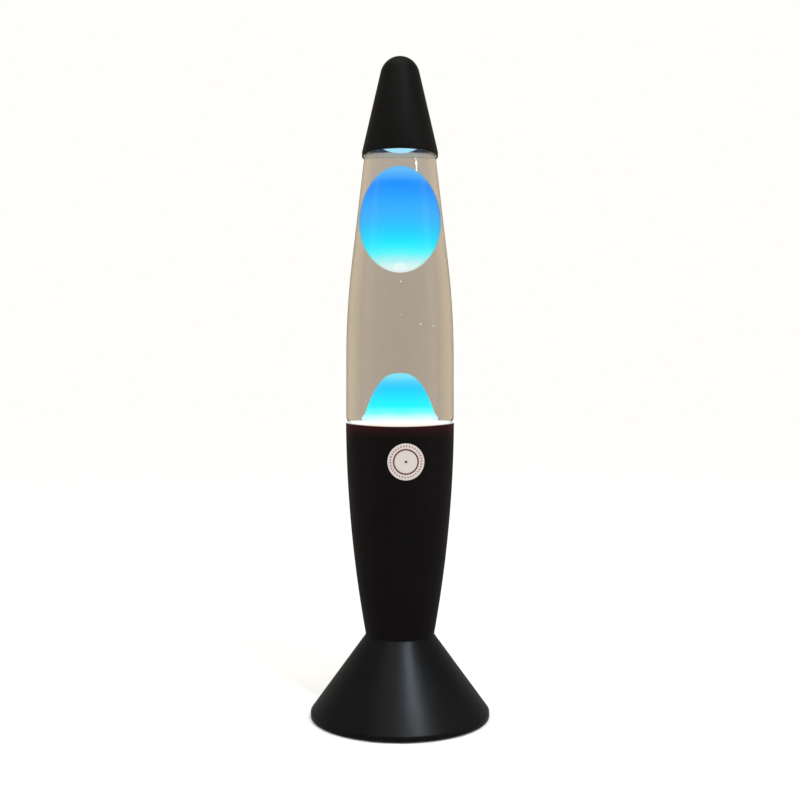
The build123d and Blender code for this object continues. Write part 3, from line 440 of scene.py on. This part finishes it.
def cup_side(z):
    """Radius of the cup's outside at a height, in mm."""
    radius, centre_r, centre_z, _, _ = cup_arc()
    return centre_r + sqrt(radius * radius - (z - centre_z) ** 2)


def cup_shell(material, bare):
    """The spun cup: a flat floor with the pipe's hole, and a side that bows out a little on its way to the
    rim."""
    bm = bmesh.new()
    radius, _, _, half, lean = cup_arc()
    floor = WAIST_RADIUS - PIPE_HOLE
    draw(bm, (PIPE_HOLE, CONE_TOP), 0, [(floor,), (0, 90 - lean - half), (radius, 2 * half)])
    lathe(bm)
    wall(bm, SHEET)
    piece("cup_shell", bm, material, "base", "black_cup", "base_cup", inside=bare)


def cap_shell(material, bare):
    """The spun cap: an upright band at the rim, and a straight taper that meets the round nose smoothly."""
    bm = bmesh.new()
    rise = CAP_TOP - CAP_NOSE - CAP_RIM - CAP_BAND
    reach = hypot(CAP_RIM_RADIUS, rise)
    taper = sqrt(reach**2 - CAP_NOSE**2)
    lean = degrees(atan2(CAP_RIM_RADIUS, rise) - atan2(CAP_NOSE, taper))
    draw(bm, (CAP_RIM_RADIUS, CAP_RIM), 90, [(CAP_BAND,), (0, lean), (taper,), (CAP_NOSE, 90 - lean)])
    lathe(bm)
    wall(bm, CAP_SHEET)
    piece("cap_shell", bm, material, "cap", "black_cap", "top_cap", inside=bare)


def globe_bottle(material):
    """The blown globe: its outside with the lip, and its inside, one wall away and joined to it at the
    mouth."""
    bm = bmesh.new()
    outer = draw(bm, (0, GLOBE_FOOT), 0, GLOBE_MOVES + LIP_MOVES)
    inner = draw(bm, (0, GLOBE_FOOT), 0, GLOBE_MOVES + [(MOUTH_INSIDE,)], GLOBE_WALL)
    bm.edges.new((outer, inner))
    lathe(bm)
    piece("globe_bottle", bm, material, "globe", "globe_glass", "globe_glass")


def cut_off(bm, top):
    """Removes what lies above a level in mm. Gives back the edges of the cut."""
    everything = bm.verts[:] + bm.edges[:] + bm.faces[:]
    cut = bmesh.ops.bisect_plane(
        bm, geom=everything, plane_co=(0, 0, top * MM), plane_no=(0, 0, 1), clear_outer=True
    )
    return [e for e in cut["geom_cut"] if isinstance(e, bmesh.types.BMEdge)]


def inside_globe(inset, top):
    """The space inside the globe up to a level, moved in from its outside by inset, and the edges of its
    open top."""
    bm = bmesh.new()
    draw(bm, (0, GLOBE_FOOT), 0, GLOBE_MOVES + [(5.0,)], inset)
    lathe(bm)
    return bm, cut_off(bm, top)


def liquid_fill(material):
    """The liquid. It reaches a little into the glass, so that no film of air shows between the two."""
    bm, edge = inside_globe(GLOBE_WALL - LIQUID_OVERLAP, LIQUID_TOP)
    bmesh.ops.edgeloop_fill(bm, edges=edge)
    bmesh.ops.recalc_face_normals(bm, faces=bm.faces[:])
    piece("liquid_fill", bm, material, "globe", "liquid", "clear_liquid")


def wax_mound(material):
    """The pool, its thin rim of wax against the glass, and the mound that swells from its middle."""
    bm, edge = inside_globe(GLOBE_WALL + 0.05, POOL_EDGE)
    side = hypot(edge[0].verts[0].co.x, edge[0].verts[0].co.y) / MM
    rings = [(side - 0.4, POOL_EDGE), (side - 0.7, POOL_EDGE - 0.3), (side - 1.5, POOL_LEVEL + 0.2)]
    rings += [(side - 3.5, POOL_LEVEL + 0.05), (MOUND_RADIUS + 3.2, POOL_LEVEL + 0.1)]
    rings += [(MOUND_RADIUS + 1.4, POOL_LEVEL + 0.5), (MOUND_RADIUS + 0.5, POOL_LEVEL + 1.5)]
    steps, swell = 16, MOUND_TOP - POOL_LEVEL
    for i in range(steps - 1, 0, -1):
        rings.append((MOUND_RADIUS * i / steps, MOUND_TOP - swell * (i / steps) ** 2.63))
    for radius, height in rings:
        made = bmesh.ops.extrude_edge_only(bm, edges=edge)["geom"]
        edge = [e for e in made if isinstance(e, bmesh.types.BMEdge)]
        for v in {v for e in edge for v in e.verts}:
            flat = hypot(v.co.x, v.co.y)
            v.co = Vector((v.co.x / flat * radius, v.co.y / flat * radius, height)) * MM
    bmesh.ops.holes_fill(bm, edges=bm.edges[:])
    for face in [f for f in bm.faces if len(f.verts) > 4]:
        tip = bmesh.ops.poke(bm, faces=[face])["verts"][0]
        if tip.co.z > POOL_LEVEL * MM:
            tip.co.z = MOUND_TOP * MM
    bmesh.ops.recalc_face_normals(bm, faces=bm.faces[:])
    piece("wax_mound", bm, material, "globe", "blue_wax", "wax_pool", sharp=80)


def rising_blob(material):
    """The risen blob, an egg of two half-spheroids that share their widest ring."""
    bm = bmesh.new()
    bmesh.ops.create_uvsphere(bm, u_segments=96, v_segments=64, radius=MM)
    upper = [v for v in bm.verts if v.co.z >= 0]
    lower = [v for v in bm.verts if v.co.z < 0]
    bmesh.ops.scale(bm, vec=(BLOB_RADIUS, BLOB_RADIUS, BLOB_HIGH - BLOB_MIDDLE), verts=upper)
    bmesh.ops.scale(bm, vec=(BLOB_RADIUS, BLOB_RADIUS, BLOB_MIDDLE - BLOB_LOW), verts=lower)
    bmesh.ops.translate(bm, vec=(0, 0, BLOB_MIDDLE * MM), verts=bm.verts[:])
    piece("rising_blob", bm, material, "drifting_wax", "blue_wax", "wax_blob")


def neck_wax(material):
    """The little wax that hangs from the liquid's top, under the cap: half a spheroid, flat side up."""
    bm = bmesh.new()
    bmesh.ops.create_uvsphere(bm, u_segments=64, v_segments=32, radius=1.0)
    cut_off(bm, 0)
    bmesh.ops.holes_fill(bm, edges=bm.edges[:])
    size = Vector((NECK_WAX_RADIUS, NECK_WAX_RADIUS, NECK_WAX_TOP - NECK_WAX_LOW)) * MM
    bmesh.ops.scale(bm, vec=size, verts=bm.verts[:])
    bmesh.ops.translate(bm, vec=(0, 0, NECK_WAX_TOP * MM), verts=bm.verts[:])
    piece("neck_wax", bm, material, "globe", "blue_wax", "wax_top")


def crown_stopper(material):
    """The pressed crown that closes the globe, with twenty-one flutes that deepen down its skirt."""
    bm = bmesh.new()
    draw(bm, (0, CROWN_TOP), 0, [(12.55,), (1.2, -90), (1.5,), (1.5, 43), (2.56,)])
    flutes = 21
    lathe(bm, 12 * flutes)
    low, high = CROWN_TOP - 5.6, CROWN_TOP - 2.7
    for v in [v for v in bm.verts if v.co.z < high * MM]:
        share = min((high - v.co.z / MM) / (high - low), 1.0)
        turn = atan2(v.co.y, v.co.x)
        reach = hypot(v.co.x, v.co.y) + (0.22 * cos(flutes * turn) - 0.14) * share * MM
        v.co = Vector((cos(turn) * reach, sin(turn) * reach, v.co.z))
    wall(bm, 0.4)
    piece("crown_stopper", bm, material, "globe", "crown_tin", "crown_cap", inside=material)


def bubbles(material):
    """A few air bubbles caught in the liquid near the front of the globe."""
    bm = bmesh.new()
    for x, y, z, radius in BUBBLES:
        spot = Matrix.Translation(Vector((x, y, z)) * MM)
        bmesh.ops.create_icosphere(bm, subdivisions=3, radius=radius * MM, matrix=spot)
    piece("air_bubbles", bm, material, "globe", "liquid")


def label(material):
    """A round sticker pressed onto the cup's curved side. Its face has inner rings, so that it can follow
    the curve."""
    bm = bmesh.new()
    bmesh.ops.create_circle(bm, cap_ends=True, segments=64, radius=LABEL_RADIUS)
    for width in [0.15] + 6 * [1.2]:
        inner = max(bm.faces, key=lambda f: len(f.verts))
        bmesh.ops.inset_individual(bm, faces=[inner], thickness=width, use_even_offset=True)
    centre = max(bm.faces, key=lambda f: len(f.verts))
    bmesh.ops.poke(bm, faces=[centre])
    for v in bm.verts:
        x, z = v.co.x + LABEL_X, v.co.y + LABEL_HEIGHT
        v.co = Vector((x, -sqrt((cup_side(z) + 0.12) ** 2 - x * x), z)) * MM
    bmesh.ops.recalc_face_normals(bm, faces=bm.faces[:])
    if sum(f.normal.y for f in bm.faces) > 0:
        bmesh.ops.reverse_faces(bm, faces=bm.faces[:])
    bmesh.ops.solidify(bm, geom=bm.faces[:], thickness=0.1 * MM)
    bmesh.ops.recalc_face_normals(bm, faces=bm.faces[:])
    piece("round_label", bm, material, "base", "label_vinyl", "label_disc")


# ==== Stage ====
def pale_room():
    """The room: white where it is seen past the lamp, and a dim grey in gloss. Through the globe its walls
    are grey-beige, with a golden stretch towards each side. Rays that cross fewer surfaces than a straight
    way through glass and liquid does were turned back inside the walls, and get a third of the light."""
    world = bpy.data.worlds.new("pale_room")
    world.use_nodes = True
    tree = world.node_tree
    tree.nodes.clear()
    ray = add(tree, "LightPath").outputs
    paper = add(tree, "Background", {"Color": hex_colour("#fffefb"), "Strength": 1.0})
    facing = add(tree, "TexCoord").outputs["Generated"]
    toward = add(tree, "SeparateXYZ", None, {"Vector": facing}).outputs["X"]
    aside = add(tree, "Math", None, {0: toward}, operation="ABSOLUTE").outputs[0]
    rise = add(tree, "MapRange", {"From Min": 0.42, "From Max": 0.78}, {"Value": aside}).outputs[0]
    fall = add(tree, "MapRange", {"From Min": 1.0, "From Max": 0.93}, {"Value": aside}).outputs[0]
    golden = add(tree, "Math", None, {0: rise, 1: fall}, operation="MULTIPLY").outputs[0]
    walls = add(tree, "Mix", {6: (0.585, 0.495, 0.418, 1.0), 7: (0.90, 0.72, 0.52, 1.0)}, {"Factor": golden},
                data_type="RGBA").outputs[2]
    through = add(tree, "Math", {1: 4.5}, {0: ray["Transmission Depth"]}, operation="GREATER_THAN").outputs[0]
    power = add(tree, "MapRange", {"To Min": 0.35, "To Max": 1.0}, {"Value": through}).outputs[0]
    room = add(tree, "Background", None, {"Color": walls, "Strength": power})
    dark = add(tree, "Background", {"Color": (0.52, 0.50, 0.48, 1.0), "Strength": 0.45})
    shone = add(tree, "MixShader", None, {0: ray["Is Glossy Ray"], 1: paper.outputs[0], 2: dark.outputs[0]})
    crossed = ray["Is Transmission Ray"]
    seen = add(tree, "MixShader", None, {0: crossed, 1: shone.outputs[0], 2: room.outputs[0]})
    add(tree, "OutputWorld", links={"Surface": seen.outputs[0]})
    bpy.context.scene.world = world


def paper_floor():
    """A round sheet of matt off-white paper, which gloss and glass don't see."""
    bm = bmesh.new()
    bmesh.ops.create_circle(bm, cap_ends=True, segments=64, radius=6.0)
    mesh = bpy.data.meshes.new("floor")
    bm.to_mesh(mesh)
    bm.free()
    floor = bpy.data.objects.new("floor", mesh)
    bpy.context.scene.collection.objects.link(floor)
    material, _, shader, _ = start("pale_floor_paper")
    shader.inputs["Base Color"].default_value = hex_colour("#f6f5f2")
    shader.inputs["Roughness"].default_value = 0.9
    shader.inputs["Specular IOR Level"].default_value = 0.1
    mesh.materials.append(material)
    floor.visible_glossy = floor.visible_transmission = False


def softbox(name, place, target, width, height, power, painted_under_rim_red=(1.0, 1.0, 1.0), beam=180):
    """A rectangular light that faces its target, in metres and watts. Glass doesn't show it from inside."""
    lamp = bpy.data.lights.new(name, "AREA")
    lamp.shape, lamp.size, lamp.size_y, lamp.energy = "RECTANGLE", width, height, power
    lamp.color, lamp.spread = painted_under_rim_red, radians(beam)
    obj = bpy.data.objects.new(name, lamp)
    obj.location = place
    obj.rotation_euler = (Vector(target) - Vector(place)).to_track_quat("-Z", "Y").to_euler()
    obj.visible_transmission = False
    bpy.context.scene.collection.objects.link(obj)


def ceiling_light():
    """Broad, soft light from nearly straight above, which gives the faint shadow on the floor."""
    sun = bpy.data.lights.new("ceiling", "SUN")
    sun.energy, sun.angle = 0.6, radians(60)
    ceiling = bpy.data.objects.new("ceiling", sun)
    ceiling.rotation_euler = (radians(18), 0, 0)
    bpy.context.scene.collection.objects.link(ceiling)


def studio_camera():
    """The camera, straight in front of the lamp and a little below the middle of its height."""
    scene = bpy.context.scene
    camera = bpy.data.objects.new("camera", bpy.data.cameras.new("camera"))
    camera.location = (0, -0.5425, 0.1627)
    camera.rotation_euler = (pi / 2, 0, 0)
    camera.data.lens = 47.25
    camera.data.sensor_width = 36.0
    camera.data.clip_start = 0.01
    scene.collection.objects.link(camera)
    scene.camera = camera


def studio():
    """A plain room and floor, soft light from above, a cool gridded softbox for the cone's highlight, a
    pale reflector on each side, and a small light that glints in the glass like a far window."""
    bpy.context.scene.view_settings.view_transform = "Standard"
    pale_room()
    paper_floor()
    ceiling_light()
    softbox("overhead_softbox", (0.37, -0.65, 1.06), (0, 0, 0.02), 0.16, 0.22, 0.055, (0.72, 0.87, 1.0), 14)
    softbox("right_reflector", (1.0, -0.3, 0.3), (0, 0, 0.2), 0.4, 0.9, 0.35)
    softbox("left_reflector", (-1.0, -0.3, 0.3), (0, 0, 0.2), 0.4, 0.9, 0.3)
    softbox("window_glint", (0.8, -0.6, 0.795), (0, 0, 0.28), 0.02, 0.04, 0.25)
    studio_camera()


# ==== Build ====
cone_paint = powder_coat("cone_powder_coat", "#070708", "#0a0a0b", 1.1, 0.34, 1.3, 0.5)[0]
cap_paint = powder_coat("cap_powder_coat", "#0b0a09", "#0f0e0c", 0.9, 0.42, 1.28)[0]
bare = metal("bare_spun_aluminium", "#b9b8b4", "#cdccc8", 0.5, 0.42, (0.2, 0.2, 3.0))
# the cap's bare inside carries a painted glow that stands for the lamp's light
lit_bare = metal("bare_aluminium_painted_lamp_glow", "#b9b8b4", "#cdccc8", 0.5, 0.42, (0.2, 0.2, 3.0), "#9c968c")
cone_shell(cone_paint, bare)
cup_shell(cup_coat_and_painted_rim_glow(), bare)
cap_shell(cap_paint, lit_bare)
globe_bottle(bottle_glass())
liquid_fill(globe_liquid())
wax_mound(lit_wax("lit_pool_wax", 128, 178, MOUND_GLOW, 1.2, 0.6))
# the spot places the blob's painted highlight of the bulb's light
rising_blob(lit_wax("lit_blob_wax", 226, 282, BLOB_GLOW, 1.15, 1.0, spot=(0, -6.5, 229.6)))
neck_wax(lit_wax("lit_neck_wax", 288, 298, NECK_GLOW, 1.25, 0.3))
label(printed_label())
bubbles(bubble_air())
# the crown's tin carries a painted glow that stands for the lamp's light
tin = metal("lacquered_tinplate_painted_glow", "#b0aa9c", "#c0b9a8", 0.7, 0.3, glow="#4a463e")
crown_stopper(tin)

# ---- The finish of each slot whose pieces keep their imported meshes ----
finishes = {
    # cool grey plate, bright in its scratches
    "zinc_steel": metal("zinc_plated_steel", "#9a9da0", "#b4b7b8", 0.5, 0.34),
    # warm yellow, gone a little brown
    "brass": metal("plain_brass", "#b08a48", "#c79f57", 0.6, 0.3),
    # pale warm grey, the brightest of the plated parts
    "nickel_shell": metal("nickel_plated_brass", "#b9b4a8", "#cac5ba", 0.6, 0.22),
    # soft dull grey
    "solder": metal("dull_solder", "#84858a", "#9a9ba0", 0.8, 0.5),
    # dark wire that glows warm white when the bulb is on
    "filament_wire": metal("glowing_tungsten_wire", "#5a5856", "#6a6866", 0.4, 0.4, glow="#ffc98a"),
    # pale gold-grey lacquer over tin, with a painted glow that stands for the lamp's light
    "crown_tin": tin,
    # grey wire, shiny along its length
    "coil_steel": metal("bright_spring_wire", "#8c8d8f", "#a5a6a8", 0.4, 0.28),
    # flat black paint with a faint grain
    "plate_steel": moulded("black_painted_steel", "#161617", "#1d1d1e", 0.7, 0.5, 0.3),
    # black with almost no shine
    "black_rubber": moulded("matt_black_rubber", "#101011", "#18181a", 0.6, 0.72, 0.25),
    # milky off-white with a soft shine
    "seat_silicone": moulded("white_silicone", "#c8c5bd", "#d3d0c8", 0.8, 0.45),
    # cream white with sharp highlights
    "porcelain": moulded("glazed_porcelain", "#dddad2", "#e8e6e0", 1.5, 0.16),
    # the two lead colours, soft and half matt
    "lead_brown": moulded("brown_silicone_sleeve", "#4a2412", "#5a2e18", 0.5, 0.5),
    "lead_blue": moulded("blue_silicone_sleeve", "#1c3f78", "#24508f", 0.5, 0.5),
    # milky grey-white plastic
    "splice_nylon": moulded("milky_nylon", "#cfcec6", "#dcdbd4", 0.9, 0.38),
    # plain pale grey plastic
    "liner": moulded("soft_white_liner", "#c6c6c2", "#d2d2ce", 0.8, 0.5),
    # glassy black
    "black_glass": moulded("black_insulating_glass", "#0c0c0e", "#141416", 1.2, 0.15),
    # clear and bright
    "bulb_glass": bottle_glass(),
}
slots = {row["node"]: row["material_slot"] for row in frame["record"]["subparts"]}
for name, node in frame["nodes"].items():
    if not node.hide_render:
        for place in node.material_slots:
            place.material = finishes[slots[name]]
studio()
